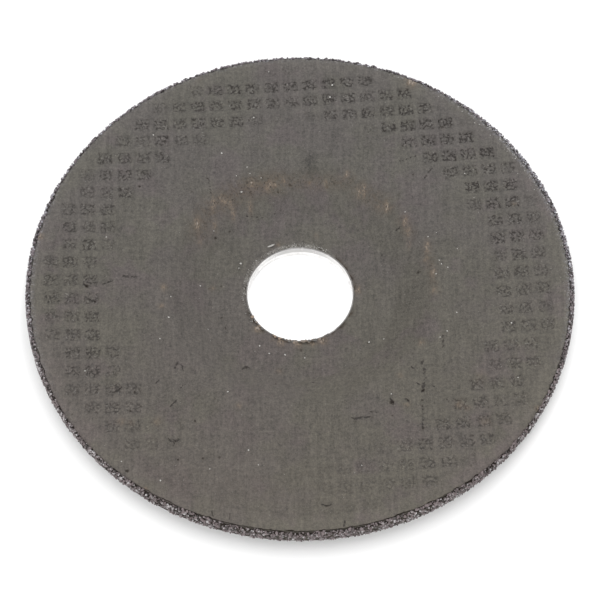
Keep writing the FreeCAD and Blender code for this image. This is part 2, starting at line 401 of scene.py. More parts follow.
class Finish:
    """Lays out the nodes of one procedural finish, coat over coat."""

    def __init__(self, name, ground):
        self.material = bpy.data.materials.new(name)
        self.material.use_nodes = True
        self.tree = self.material.node_tree
        self.tree.nodes.clear()
        self.surface = self.add("ShaderNodeBsdfPrincipled")
        output = self.add("ShaderNodeOutputMaterial")
        self.tree.links.new(self.surface.outputs["BSDF"], output.inputs["Surface"])
        self.where = self.place()
        self.colour = ground

    def add(self, kind, **settings):
        """A new node with its own settings."""
        node = self.tree.nodes.new(kind)
        for name, value in settings.items():
            setattr(node, name, value)
        return node

    def feed(self, socket, value):
        """Links an output to a socket, or sets the socket to a number or a colour."""
        if isinstance(value, bpy.types.NodeSocket):
            self.tree.links.new(value, socket)
        elif isinstance(value, (int, float)):
            socket.default_value = value
        else:
            socket.default_value = (*value, 1.0)

    def place(self, stretch=(1, 1, 1), shift=(0, 0, 0)):
        """The piece's own coordinates in millimetres, stretched and shifted."""
        coordinates = self.add("ShaderNodeTexCoord")
        mapping = self.add("ShaderNodeMapping")
        mapping.inputs["Scale"].default_value = [factor / MM for factor in stretch]
        mapping.inputs["Location"].default_value = shift
        self.tree.links.new(coordinates.outputs["Object"], mapping.inputs["Vector"])
        return mapping.outputs["Vector"]

    def axes(self):
        """The coordinates by their letters."""
        node = self.add("ShaderNodeSeparateXYZ")
        self.feed(node.inputs[0], self.where)
        return node.outputs

    def noise(self, per_mm, detail=4.0, roughness=0.6, **placing):
        """Cloudy noise with that many features in a millimetre, stretched or shifted if asked."""
        node = self.add("ShaderNodeTexNoise")
        self.feed(node.inputs["Vector"], self.place(**placing) if placing else self.where)
        self.feed(node.inputs["Scale"], per_mm)
        self.feed(node.inputs["Detail"], detail)
        self.feed(node.inputs["Roughness"], roughness)
        return node.outputs["Fac"]

    def warped(self, per_mm, reach_mm):
        """The coordinates pushed about by a cloudy pattern."""
        cloud = self.add("ShaderNodeTexNoise")
        self.feed(cloud.inputs["Vector"], self.where)
        self.feed(cloud.inputs["Scale"], per_mm)
        push = self.add("ShaderNodeVectorMath", operation="MULTIPLY_ADD")
        self.tree.links.new(cloud.outputs["Color"], push.inputs[0])
        push.inputs[1].default_value = (reach_mm, reach_mm, reach_mm)
        self.tree.links.new(self.where, push.inputs[2])
        return push.outputs["Vector"]

    def grain_gaps(self, where, per_mm):
        """Distance from the seams of a mosaic of grains, across the face."""
        node = self.add("ShaderNodeTexVoronoi", feature="DISTANCE_TO_EDGE", voronoi_dimensions="2D")
        self.feed(node.inputs["Vector"], where)
        self.feed(node.inputs["Scale"], per_mm)
        return node.outputs["Distance"]

    def attribute(self, name):
        """A value painted on the mesh's points."""
        return self.add("ShaderNodeAttribute", attribute_name=name).outputs["Fac"]

    def math(self, operation, first, second):
        """One sum."""
        node = self.add("ShaderNodeMath", operation=operation)
        self.feed(node.inputs[0], first)
        self.feed(node.inputs[1], second)
        return node.outputs[0]

    def times(self, first, second):
        """The product of two values."""
        return self.math("MULTIPLY", first, second)

    def total(self, *terms):
        """The sum of several values."""
        result = terms[0]
        for term in terms[1:]:
            result = self.math("ADD", result, term)
        return result

    def ramp(self, value, low, high, start=0.0, end=1.0):
        """Value from low to high carried to start and end, and held there."""
        node = self.add("ShaderNodeMapRange", interpolation_type="SMOOTHSTEP")
        for name, number in zip(
                ("Value", "From Min", "From Max", "To Min", "To Max"),
                (value, low, high, start, end)):
            self.feed(node.inputs[name], number)
        return node.outputs["Result"]

    def blend(self, share, first, second, mode="MIX"):
        """Two colours mixed by share."""
        node = self.add("ShaderNodeMix", data_type="RGBA", blend_type=mode)
        self.feed(node.inputs[0], share)
        self.feed(node.inputs[6], first)
        self.feed(node.inputs[7], second)
        return node.outputs[2]

    def coat(self, share, colour):
        """Lays a colour over what is there, by share."""
        self.colour = self.blend(share, self.colour, colour)

    def glaze(self, tone):
        """Multiplies what is there by a tone or a colour."""
        self.colour = self.blend(1.0, self.colour, tone, "MULTIPLY")

    def cover(self, roughness):
        """Gives the surface its colour and roughness."""
        self.feed(self.surface.inputs["Base Color"], self.colour)
        self.feed(self.surface.inputs["Roughness"], roughness)

    def relief(self, height_mm, strength):
        """Raises the surface by a height in millimetres."""
        node = self.add("ShaderNodeBump")
        self.feed(node.inputs["Height"], height_mm)
        self.feed(node.inputs["Distance"], MM)
        self.feed(node.inputs["Strength"], strength)
        self.feed(self.surface.inputs["Normal"], node.outputs["Normal"])


def drift_skin(finish, colours):
    """Lets the skin's colour drift, warmer on the near half."""
    finish.coat(finish.ramp(finish.noise(0.055, 3.0), 0.42, 0.60), colours.olive)
    finish.coat(finish.ramp(finish.noise(0.09, 3.0, shift=(31, 17, 5)), 0.50, 0.66), colours.mauve)
    warm = finish.ramp(finish.axes()["Y"], -48.0, 42.0, 1.0, 0.0)
    finish.glaze(finish.blend(warm, colours.cool_cast, colours.warm_cast))


def open_grain(finish, colours):
    """Shows glinting grain in the net's gaps, and says where the crevices between it lie, which are
    painted dark: the open grain's own dark and painted shade.
    """
    gap = finish.attribute("gap")
    uneven = finish.ramp(finish.noise(1.6, 2.0), 0.36, 0.64, -0.11, 0.10)
    gaps = finish.total(finish.grain_gaps(finish.warped(1.1, 0.9), 1.15), uneven)
    seams = finish.ramp(gaps, 0.05, 0.30, 1.0, 0.0)
    patchy = finish.ramp(finish.noise(1.5, 2.0), 0.42, 0.56, 0.12, 1.0)
    crevice = finish.times(finish.times(seams, patchy), gap)
    glints = finish.ramp(finish.noise(2.6, 3.0, shift=(7, 2, 19)), 0.56, 0.68, 0.0, 0.22)
    finish.coat(finish.times(glints, gap), colours.speck)
    # The crevices painted dark, partly as painted shade between the grains
    finish.coat(crevice, colours.pit)
    return crevice


def stain_skin(finish, colours):
    """Adds the brown stain and its dark freckles."""
    browned = finish.ramp(finish.noise(1.3, 5.0, 0.7), 0.36, 0.62, 0.15, 0.80)
    browned = finish.times(finish.attribute("stain"), browned)
    finish.coat(browned, colours.stain)
    freckles = finish.ramp(finish.noise(2.1, 2.0, shift=(5, 21, 8)), 0.53, 0.65, 0.0, 1.7)
    finish.coat(finish.times(freckles, browned), colours.pit)


def frost_skin(finish, colours):
    """Adds the veil of pale dust and crystals on the far margin."""
    frost = finish.attribute("frost")
    powder = finish.ramp(finish.noise(1.7, 4.0, 0.7, shift=(17, 3, 6)), 0.45, 0.57, 0.0, 0.60)
    finish.coat(finish.times(frost, powder), colours.frost)
    crystals = finish.ramp(finish.noise(3.0, 2.0, 0.5), 0.58, 0.68, 0.0, 0.75)
    finish.coat(finish.times(frost, crystals), colours.pale_grit)


def rust_skin(finish, colours):
    """Adds the rust, pale where it is thickest, and the crumbled dust beside the bore."""
    flecks = finish.noise(3.4, 5.0, 0.7, stretch=(1.0, 0.35, 1.0))
    rusty = finish.times(finish.attribute("rust"), finish.ramp(flecks, 0.42, 0.57))
    finish.coat(rusty, colours.rust)
    dust = finish.ramp(finish.noise(3.6, 4.0, 0.7), 0.44, 0.60, 0.05, 0.90)
    dust = finish.times(finish.attribute("dust"), dust)
    thickest = finish.ramp(rusty, 0.46, 0.92, 0.0, 0.44)
    finish.coat(finish.math("MAXIMUM", thickest, dust), colours.speck)


def pepper_skin(finish, colours):
    """Adds pale and dark specks all over."""
    pale = finish.noise(3.1, 2.0, 0.5, shift=(3, 9, 27))
    finish.coat(finish.ramp(pale, 0.73, 0.79, 0.0, 0.5), colours.speck)
    dark = finish.noise(2.3, 2.0, 0.5, shift=(13, 4, 2))
    finish.coat(finish.ramp(dark, 0.72, 0.78, 0.0, 0.6), colours.pit)


def skin_finish(colours):
    """The cured resin skin: fine streaks, mottling, open pits, cracks and rust."""
    finish = Finish("resin_skin", colours.skin)
    streaks = finish.noise(1.0, 5.0, 0.65, stretch=(1.5, 0.16, 1.0))
    threads = finish.noise(1.0, 4.0, 0.6, stretch=(0.30, 1.3, 1.0))
    mottle = finish.noise(1.7, 6.0, 0.7)
    speckle = finish.noise(4.2, 3.0, 0.6)
    drift_skin(finish, colours)
    finish.glaze(finish.total(
        finish.ramp(streaks, 0.25, 0.75, -0.16, 0.16),
        finish.ramp(threads, 0.25, 0.75, -0.08, 0.08),
        finish.ramp(mottle, 0.25, 0.75, -0.34, 0.34),
        finish.ramp(speckle, 0.25, 0.75, -0.25, 0.25),
        finish.times(finish.attribute("shade"), -0.42),
        1.0))
    crevice = open_grain(finish, colours)
    # Torn pits, and the rim's wall with the painted shade of its moat, are coated dark
    pit = finish.attribute("pit")
    ragged = finish.total(pit, finish.ramp(mottle, 0.3, 0.7, -0.22, 0.22))
    finish.coat(finish.ramp(ragged, 0.30, 0.70, 0.0, 0.90), colours.pit)
    stain_skin(finish, colours)
    frost_skin(finish, colours)
    rust_skin(finish, colours)
    pepper_skin(finish, colours)
    wander = finish.ramp(finish.noise(2.2, 4.0), 0.3, 0.7, -0.08, 0.12)
    crack = finish.ramp(finish.total(finish.attribute("crack"), wander), 0.12, 0.29, 1.0, 0.0)
    finish.coat(finish.times(crack, 0.92), colours.pit)

    rough_patch = finish.ramp(mottle, 0.3, 0.7, 0.62, 0.80)
    finish.cover(finish.total(rough_patch, finish.times(pit, 0.15)))
    finish.feed(finish.surface.inputs["Specular IOR Level"], finish.ramp(pit, 0.2, 0.8, 0.3, 0.0))
    finish.relief(finish.total(
        finish.times(streaks, 0.05),
        finish.times(threads, 0.04),
        finish.times(mottle, 0.09),
        finish.times(speckle, 0.04),
        finish.times(crevice, -0.10),
        finish.times(crack, -0.15)), 0.8)
    return finish.material


def grit_finish(colours):
    """Broken grains: each with its own tone, some glassy and bright, with resin in between."""
    finish = Finish("rim_grit", colours.pit)
    tint = finish.attribute("tint")
    finish.coat(finish.ramp(tint, -0.07, 0.31), colours.grit)
    finish.coat(finish.ramp(tint, 0.64, 1.0, 0.0, 0.85), colours.pale_grit)
    finish.coat(finish.ramp(finish.noise(1.1, 4.0), 0.56, 0.70, 0.0, 0.5), colours.mauve)
    grain = finish.noise(7.0, 4.0, 0.7)
    finish.glaze(finish.ramp(grain, 0.25, 0.75, 0.72, 1.25))
    far = finish.ramp(finish.axes()["Y"], -30.0, 15.0)
    finish.glaze(finish.blend(far, (1.0, 1.0, 1.0), colours.chill))
    finish.cover(finish.ramp(tint, 0.6, 1.0, 0.60, 0.30))
    finish.feed(finish.surface.inputs["Specular IOR Level"], 0.6)
    finish.relief(finish.times(grain, 0.06), 0.8)
    return finish.material


def pale_finish(colours):
    """Light grit and torn fibre in the face."""
    finish = Finish("pale_grit", colours.speck)
    cloud = finish.noise(3.0, 4.0)
    tint = finish.attribute("tint")
    finish.coat(finish.ramp(cloud, 0.35, 0.65, 0.0, 0.35), colours.mauve)
    finish.coat(finish.ramp(tint, 0.2, 0.5), colours.skin)
    finish.coat(finish.ramp(tint, 0.6, 0.9), colours.rust)
    finish.cover(finish.ramp(cloud, 0.3, 0.7, 0.25, 0.5))
    finish.relief(finish.times(cloud, 0.05), 0.6)
    return finish.material


def tin_finish(colours):
    """Tinned sheet steel: drawn lines up the tube, dull patches and a little rust, with painted light:
    duller above, bright below as a painted reflection of the floor.
    """
    finish = Finish("tinned_steel", colours.tin)
    dull = finish.noise(0.55, 5.0, 0.65)
    lines = finish.noise(1.0, 5.0, 0.7, stretch=(2.2, 2.2, 0.25))
    rings = finish.noise(1.0, 3.0, 0.6, stretch=(0.05, 0.05, 6.0))
    place = finish.axes()
    # Painted light: duller above, most on the far side, and bright tin below as a painted reflection of
    # the floor
    upper = finish.ramp(place["Z"], 1.2, 1.7)
    beyond = finish.ramp(place["Y"], 8.0, 10.8, 0.35, 1.0)
    finish.coat(finish.times(upper, beyond), colours.dull_and_shaded_tin)
    finish.coat(finish.ramp(dull, 0.42, 0.70, 0.0, 0.35), colours.dull_and_shaded_tin)
    finish.coat(finish.ramp(finish.noise(0.9, 6.0, 0.75), 0.66, 0.78, 0.0, 0.6), colours.rust)
    crust = finish.ramp(place["Z"], 2.92, 3.06)
    crust = finish.times(crust, finish.ramp(dull, 0.30, 0.50, 0.55, 1.0))
    finish.coat(crust, colours.crust)
    finish.cover(finish.ramp(dull, 0.3, 0.7, 0.24, 0.46))
    finish.feed(finish.surface.inputs["Metallic"], finish.math("SUBTRACT", 1.0, crust))
    finish.relief(finish.total(finish.times(lines, 0.012), finish.times(rings, 0.02)), 0.7)
    return finish.material


def floor_finish(colours):
    """A plain pale studio floor."""
    finish = Finish("pale_floor", colours.floor)
    finish.coat(finish.ramp(finish.noise(0.02, 3.0), 0.3, 0.7, 0.0, 0.04), (0.86, 0.86, 0.85))
    finish.cover(0.9)
    return finish.material


def dished_height(radius, corner, run, low, high, foot_bend, top_bend):
    """Height at a radius of a surface that goes from low, up a slope that starts at corner, to high."""
    slope = math.atan2(high - low, run)
    foot = foot_bend * math.tan(slope / 2)
    top = top_bend * math.tan(slope / 2)
    if radius <= corner - foot:
        return low
    if radius <= corner + foot * math.cos(slope):
        return low + foot_bend - math.sqrt(foot_bend**2 - (radius - corner + foot) ** 2)
    if radius <= corner + run - top * math.cos(slope):
        return low + (radius - corner) * math.tan(slope)
    if radius <= corner + run + top:
        return high - top_bend + math.sqrt(top_bend**2 - (corner + run + top - radius) ** 2)
    return high


def front_height(form, radius):
    """Height of the front surface."""
    return dished_height(radius, form.hub_floor, form.slope_run, form.hub_face, form.front_face,
                         form.floor_bend, form.lip_bend + form.hub_face)


def back_height(form, radius):
    """Height of the back surface, an even thickness below the front."""
    depth = form.front_face - form.hub_face
    widening = form.hub_face * math.tan(math.atan2(depth, form.slope_run) / 2)
    return dished_height(radius, form.hub_floor + widening, form.slope_run, 0.0, depth,
                         form.floor_bend + form.hub_face, form.lip_bend)


def levels(start, end, count):
    """Evenly spaced numbers from start to end."""
    return [start + (end - start) * index / (count - 1) for index in range(count)]


def arc(centre, radius, first, last, count):
    """Points on an arc in the section, by degrees from the outward direction."""
    angles = [math.radians(angle) for angle in levels(first, last, count)]
    return [(centre[0] + radius * math.cos(a), centre[1] + radius * math.sin(a)) for a in angles]


def as_mesh(name, bm):
    """The mesh of a bmesh, which is freed."""
    mesh = bpy.data.meshes.new(name)
    bm.to_mesh(mesh)
    bm.free()
    return mesh


def set_down(name, data):
    """A new object in the scene."""
    thing = bpy.data.objects.new(name, data)
    bpy.context.scene.collection.objects.link(thing)
    return thing


def turned(profile, steps, closed=False):
    """A profile of (radius, height) points spun about Z, one slice at a time to stay quick."""
    wedge = bmesh.new()
    points = [wedge.verts.new((radius, 0, height)) for radius, height in profile]
    pairs = list(zip(points, points[1:]))
    if closed:
        pairs.append((points[-1], points[0]))
    edges = [wedge.edges.new(pair) for pair in pairs]
    bmesh.ops.spin(wedge, geom=points + edges, cent=(0, 0, 0), axis=(0, 0, 1),
                   dvec=(0, 0, 0), angle=math.tau / SLICES, steps=steps // SLICES,
                   use_merge=False, use_duplicate=False)
    slice_mesh = as_mesh("slice", wedge)
    whole = bmesh.new()
    for _ in range(SLICES):
        whole.from_mesh(slice_mesh)
        slice_mesh.transform(Matrix.Rotation(math.tau / SLICES, 4, "Z"))
    bpy.data.meshes.remove(slice_mesh)
    bmesh.ops.remove_doubles(whole, verts=whole.verts, dist=WELD_REACH)
    return whole


def end_loop(edges, point):
    """The boundary edges that lie on the circle of one end of a profile."""
    radius, height = point
    loop = []
    for edge in edges:
        middle = edge.verts[0].co
        off = abs(math.hypot(middle.x, middle.y) - radius) + abs(middle.z - height)
        if edge.is_boundary and off < END_REACH:
            loop.append(edge)
    return loop


def joined(zones):
    """One closed mesh from open turned zones, each bridged to the next and the last to the first."""
    whole = bmesh.new()
    ends = []
    for profile, steps in zones:
        mesh = as_mesh("zone", turned(profile, steps))
        before = len(whole.edges)
        whole.from_mesh(mesh)
        bpy.data.meshes.remove(mesh)
        whole.edges.ensure_lookup_table()
        edges = whole.edges[before:]
        ends.append((end_loop(edges, profile[0]), end_loop(edges, profile[-1])))
    for index, (first, _) in enumerate(ends):
        bmesh.ops.bridge_loops(whole, edges=ends[index - 1][1] + first)
    bmesh.ops.recalc_face_normals(whole, faces=whole.faces)
    return whole


def as_piece(name, bm, material, slot, *nodes, smooth=True):
    """Makes a finished piece of a bmesh and ties it to the frame."""
    mesh = as_mesh(name, bm)
    for polygon in mesh.polygons:
        polygon.use_smooth = smooth
    mesh.materials.append(material)
    piece = set_down(name, mesh)
    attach(piece, "root")
    if nodes:
        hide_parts(*nodes)
    return piece


def points_of(mesh):
    """The mesh's points as rows of a table, in metres."""
    table = np.empty(len(mesh.vertices) * 3)
    mesh.vertices.foreach_get("co", table)
    return table.reshape(-1, 3)


def paint(mesh, name, values):
    """Stores a value for each point, for the finish to read."""
    layer = mesh.attributes.new(name, "FLOAT", "POINT")
    layer.data.foreach_set("value", np.asarray(values, dtype=np.float32))


def cloudy(x, y, per_mm, shift):
    """Smooth noise about zero at each place, in step with the piece's own millimetres."""
    return np.array([noise.noise((a * per_mm, b * per_mm, shift)) for a, b in zip(x, y)])


def eased(values, low, high):
    """Values between low and high carried smoothly to 0 and 1."""
    share = np.clip((values - low) / (high - low), 0.0, 1.0)
    return share * share * (3 - 2 * share)


def stroke_distance(x, y, start, end):
    """Distance from each place to a straight stroke."""
    run = np.array(end) - np.array(start)
    share = ((x - start[0]) * run[0] + (y - start[1]) * run[1]) / max(run @ run, 1e-9)
    share = np.clip(share, 0, 1)
    return np.hypot(x - start[0] - share * run[0], y - start[1] - share * run[1])


def cell_luck(row, column):
    """A number from 0 to 1 that is always the same for the same cell of the net."""
    mixed = np.sin(np.round(row) * 12.9898 + np.round(column) * 78.233) * 43758.5453
    return mixed - np.floor(mixed)


def net_gaps(net, x, y):
    """How open the net's gap is at each place, from 0 on the yarns to 1."""
    wobble_x = 0.16 * cloudy(x, y, 0.9, 3.1) + 0.05 * cloudy(x, y, 0.1, 8.0)
    wobble_y = 0.16 * cloudy(x, y, 0.9, 7.7)
    drift = net.weft_lean * x + net.weft_bow * x**2 - net.weft_curl * x**3 - net.weft_crowd * y**3
    faint = np.clip((-y - 10) / 27, 0, 1)
    row = (net.shift_along + drift + net.faint_lift * faint - y) / net.along
    drawn_in = x * (1 - net.faint_splay * faint**2)
    column = (drawn_in - net.shift_across + (net.warp_lean + net.warp_fan * x) * y) / net.across
    off_across = (column - np.round(column)) * net.across + wobble_x
    off_along = (row - np.round(row)) * net.along + wobble_y
    centre_x, centre_y = x - off_across, y + off_along
    half_across = (net.across - net.yarn_across) / 2
    half_along = (net.along - net.yarn_along) / 2
    inside = np.minimum(half_across - np.abs(off_across), half_along - np.abs(off_along))

    radius = np.hypot(centre_x, centre_y)
    in_band = eased(radius, net.inner - 1.0, net.inner + 0.9)
    in_band *= 1 - eased(radius, net.outer - 0.8, net.outer + 1.4)
    bearing = np.degrees(np.arctan2(centre_y, centre_x))
    away = (bearing - net.bare_bearing + 180) % 360 - 180
    closed_over = 0.94 * np.exp(-((away / net.bare_width) ** 2))
    shown = (0.94 + lobes(bearing, NET_SHOWS)) * (1 - closed_over)
    shown *= np.minimum(1, 0.75 + 0.4 * cell_luck(row, column))
    return eased(inside, -0.02, 0.26) * in_band * shown


def spot(x, y, across, along, wide, tall):
    """A soft spot about a point, 1 in its middle."""
    return np.exp(-((x - across) / wide) ** 2 - ((y - along) / tall) ** 2)


def strokes(x, y, table, fall):
    """How strongly each stroke of a table shows at each place. A higher fall has a sharper edge."""
    for x0, y0, x1, y1, width, strength in table:
        reach = stroke_distance(x, y, (x0, y0), (x1, y1))
        yield strength * np.exp(-((reach / width) ** fall))


def mark_fields(x, y):
    """The painted marks at each place: rust, brown stain, cracks, torn pits, and smudges with painted
    shade on the hollow's side slopes.
    """
    rust, stain, torn = np.zeros((3, len(x)))
    crack = np.ones_like(x)
    for across, along, reach, strength in RUST_DASHES:
        rust = np.maximum(rust, strength * spot(x, y, across, along, 0.42, reach))
        stain = np.maximum(stain, 0.8 * strength * spot(x, y, across, along, 0.8, reach + 0.4))
    for across, along, reach, strength in RUST_STAINS:
        blot = strength * spot(x, y, across, along, reach, reach)
        rust = np.maximum(rust, blot**2)
        stain = np.maximum(stain, blot)
    for depth, *run in CRACKS:
        for start, end in zip(run, run[1:]):
            crack = np.minimum(crack, stroke_distance(x, y, start, end) + 0.12 * (1 - depth))
    for across, along, radius in PITS:
        hole = spot(x, y, across, along, 0.85 * radius, 0.85 * radius)
        torn = np.maximum(torn, min(0.95, 0.48 + 0.60 * radius) * hole)
    for tint in strokes(x, y, BROWNED, 2):
        stain = np.maximum(stain, tint)
    # Smudges, and painted shade on the hollow's side slopes
    smudge = sum(strokes(x, y, SMUDGES_AND_SLOPE_SHADE, 3))
    return {"rust": rust, "stain": stain, "crack": crack, "torn": torn, "smudge": smudge}


def disc_zones(form):
    """The disc's section from the back's rim to the front's rim, as zones of their own fineness."""
    hole = form.bore_radius + form.ring_sheet + form.ring_fit
    recess = form.flange_radius + form.ring_fit
    skin_edge = form.wheel_radius - form.skin_setback
    core = form.wheel_radius - CORE_SETBACK
    low, high = form.front_face - form.hub_face, form.front_face
    shoulder = high - form.skin_step
    back_edge = form.wheel_radius - form.back_break - CORNER_INSET
    back = [(back_edge, low)]
    back += [(r, back_height(form, r)) for r in levels(back_edge - 0.06 * MM, recess, 30)]
    seat = [
        (recess, form.ring_sheet),
        (hole + form.ring_bend, form.ring_sheet),
        (hole, form.ring_sheet + form.ring_bend),
        (hole, form.hub_face - 0.12 * MM),
    ]
    hub = [(r, front_height(form, r)) for r in levels(hole + 0.1 * MM, HUB_END, 21)]
    dish = [(r, front_height(form, r)) for r in levels(*DISH_SPAN, 42)]
    net = [(r, front_height(form, r)) for r in levels(*NET_SPAN, 45)]
    net += [(r, high) for r in levels(MARGIN_START, skin_edge, 8)]
    net += [(skin_edge + 0.02 * MM, high - 0.5 * form.skin_step), (skin_edge, shoulder)]
    rim = [
        (skin_edge - 0.02 * MM, shoulder - 0.42 * MM),
        (form.wheel_radius - form.rim_break - CORNER_INSET, shoulder - 0.45 * MM),
    ]
    rim += [(core, z) for z in levels(shoulder - form.rim_break - CORNER_INSET,
                                      low + form.back_break + 0.12 * MM, 5)]
    rim += [(back_edge - 0.03 * MM, low + 0.03 * MM)]
    return [
        (back + seat + hub, HUB_STEPS),
        (dish, DISH_STEPS),
        (net, NET_STEPS),
        (rim, RIM_STEPS),
    ]


def lobes(bearing, table):
    """The sum of smooth bumps round the wheel, each with its bearing, spread and height."""
    total = 0 * bearing
    for middle, width, height in table:
        total = total + height * np.exp(-((((bearing - middle + 180) % 360 - 180) / width) ** 2))
    return total


def frosting(bearing):
    """How thickly pale dust lies on the rim at a bearing in degrees."""
    return np.minimum(1, lobes(bearing, FROSTED))


class Places:
    """Where a mesh's points lie on the wheel, in millimetres and degrees."""

    def __init__(self, form, mesh):
        self.x, self.y, self.z = points_of(mesh).T / MM
        self.radius = np.hypot(self.x, self.y)
        self.bearing = np.degrees(np.arctan2(self.y, self.x))
        self.skin_edge = (form.wheel_radius - form.skin_setback) / MM
        self.bore_edge = (form.bore_radius + form.ring_sheet) / MM
        surface = np.array([front_height(form, radius * MM) for radius in self.radius]) / MM
        self.front = (np.abs(self.z - surface) < 0.05) & (self.radius < self.skin_edge + 0.01)


def bore_wear(at):
    """How far the face is broken away beside the bore, from 0 to 1."""
    near_side = 0.5 - 0.5 * at.y / np.maximum(at.radius, 0.1)
    chips = eased(cloudy(at.x, at.y, 0.55, 2.2) + 0.35 * near_side, 0.05, 0.45)
    return (1 - eased(at.radius, at.bore_edge + 0.15, at.bore_edge + 1.3)) * chips


def face_fields(net, at):
    """What each place of the front face shows, by name."""
    fields = mark_fields(at.x, at.y)
    fields["gap"] = net_gaps(net, at.x, at.y)
    fields["wear"] = bore_wear(at)
    for name, field in fields.items():
        field[~at.front] = 1 if name == "crack" else 0
    return fields


def pressed(net, at, fields):
    """The points' heights with the net pressed in, the pits torn out and the face uneven."""
    grains = np.maximum(0.1, 0.5 + cloudy(at.x, at.y, 1.15, 1.7))
    sink = net.depth * fields["gap"] * grains * 2 + 0.12 * fields["torn"] + 0.3 * fields["wear"]
    uneven = 0.03 * cloudy(at.x, at.y, 0.16, 4.0) + 0.012 * cloudy(at.x, at.y, 0.8, 9.0) - 0.03
    settled = 1 - eased(at.radius, at.skin_edge - 0.6, at.skin_edge)
    return at.z + np.where(at.front, uneven * settled - sink, 0)


def pushed_out(form, at, z):
    """How far the points of the skin's edge and of the rim's wall move away from the axis."""
    x, y = at.x, at.y
    at_edge = (np.abs(at.radius - at.skin_edge) < 0.05) & (z > form.front_face / MM - 0.5)
    notches = eased(cloudy(x, y, 0.75, 6.0), 0.10, 0.45) + 0.5 * cloudy(x, y, 1.6, 2.0)
    ragged = 0.34 + 0.55 * cloudy(x, y, 0.9, 12.0) + 0.40 * cloudy(x, y, 2.0, 15.0)
    drawn_back = 0.20 * notches + 0.16 * np.maximum(y / at.radius, 0) ** 3
    drawn_back += frosting(at.bearing) * np.maximum(ragged, 0)
    spread = np.exp(-(((np.abs(at.bearing + 90) - 50) / 16) ** 2))
    low = (form.front_face - form.hub_face) / MM
    wall = (at.radius > at.skin_edge + 0.1) & (z > low + 0.05)
    lumps = np.array([noise.noise((a * 0.8, b * 0.8, c * 0.8)) for a, b, c in zip(x, y, z)])
    return np.where(at_edge, 0.46 * spread - drawn_back, 0) + np.where(wall, 0.16 * lumps, 0)


def paint_disc(net, mesh, at, fields):
    """Stores what the skin's finish reads."""
    frost = frosting(at.bearing)
    wall = (at.radius > at.skin_edge - 0.02) & ~at.front
    beyond = eased(at.radius, at.skin_edge + 0.3, at.skin_edge + 0.6)
    # The rim's wall is painted dark: the resin's own colour, with painted shade in the moat beside the
    # skin, where it is darkest; painted light lifts it on the near front
    wall_resin_and_shade = (1 - 0.25 * beyond) * (1 - 0.7 * frost) * (1 - lobes(at.bearing, WALL_PAINTED_LIGHT) * beyond)
    near_edge = eased(at.radius, at.skin_edge - 1.4, at.skin_edge - 0.1) * at.front
    margin = eased(at.radius, net.outer - 0.2, net.outer + 1.2) * at.front
    # Painted light: the hollow's slope is lightened, most on its near and far sides
    slope_painted_light = 0.17 * (eased(at.radius, 19.5, 21.5) - eased(at.radius, 26.0, 29.0))
    slope_painted_light *= (at.y / np.maximum(at.radius, 1)) ** 2
    net_dust = 0.12 * (eased(at.radius, 40.5, 42.5) - eased(at.radius, 52.0, 53.5))
    crumbled = 0.8 * np.exp(-(((at.bearing - 92) / 28) ** 2))
    crumbled += 0.5 * np.exp(-(((at.bearing - 160) / 32) ** 2))
    crumbled *= (1 - eased(at.radius, at.bore_edge + 0.3, at.bore_edge + 1.1)) * at.front
    torn = np.maximum(fields["torn"], 0.6 * fields["wear"])
    paint(mesh, "gap", fields["gap"])
    paint(mesh, "pit", np.maximum(torn, np.where(wall, wall_resin_and_shade, 0)))
    paint(mesh, "rust", fields["rust"])
    paint(mesh, "dust", crumbled)
    paint(mesh, "frost", frost * np.where(wall, 1, near_edge))
    paint(mesh, "stain", np.maximum(fields["stain"], 0.4 * fields["wear"]))
    paint(mesh, "crack", fields["crack"])
    # The shade paint darkens the skin, or lightens it below zero: smudges with painted shade on the
    # hollow's side slopes, a lighter margin and net band, and painted light on the hollow's near and far
    # slopes
    paint(mesh, "shade", fields["smudge"] - 0.36 * margin - (slope_painted_light + net_dust) * at.front)


def weather(form, net, mesh):
    """Presses the net into the front face, breaks the edges and paints the marks."""
    at = Places(form, mesh)
    fields = face_fields(net, at)
    z = pressed(net, at, fields)
    grow = 1 + pushed_out(form, at, z) / np.maximum(at.radius, 1)
    mesh.vertices.foreach_set("co", (np.stack([at.x * grow, at.y * grow, z], 1) * MM).ravel())
    paint_disc(net, mesh, at, fields)


def crystal_kinds(count, draw):
    """A few broken grains of radius 1, each a faceted ball knocked out of true."""
    kinds = []
    for _ in range(count):
        bm = bmesh.new()
        bmesh.ops.create_icosphere(bm, subdivisions=1, radius=1.0)
        for vert in bm.verts:
            vert.co *= draw.uniform(0.72, 1.18)
        kinds.append(as_mesh("grain", bm))
    return kinds


def scattered(places, draw):
    """A bmesh of grains, one for each matrix in places, and how many points a grain has."""
    kinds = crystal_kinds(12, draw)
    bm = bmesh.new()
    for _ in places:
        bm.from_mesh(draw.choice(kinds))
    corners = len(kinds[0].vertices)
    bm.verts.ensure_lookup_table()
    for index, place in enumerate(places):
        for vert in bm.verts[index * corners:(index + 1) * corners]:
            vert.co = place @ vert.co
    for kind in kinds:
        bpy.data.meshes.remove(kind)
    return bm, corners


def grain_matrix(where, radius, draw):
    """Where a grain lies, how it is turned and how far it is from round."""
    turn = Euler([draw.uniform(0, math.tau) for _ in range(3)]).to_matrix().to_4x4()
    shape = Matrix.Diagonal([radius * draw.uniform(0.75, 1.0) for _ in range(3)] + [1])
    return Matrix.Translation(where) @ turn @ shape


def grain_radius(grit, draw):
    """A grain's size: most are small."""
    return grit.smallest + (grit.largest - grit.smallest) * draw.random() ** 1.6


def rim_path(form):
    """The rough band in section, from beside the front skin round to the back."""
    edge = form.wheel_radius
    skin_edge = edge - form.skin_setback
    low, high = form.front_face - form.hub_face, form.front_face - form.skin_step
    return [Vector(point) for point in (
        (skin_edge, high), (edge - form.rim_break, high), (edge, high - form.rim_break),
        (edge, low + form.back_break), (edge - form.back_break, low))]


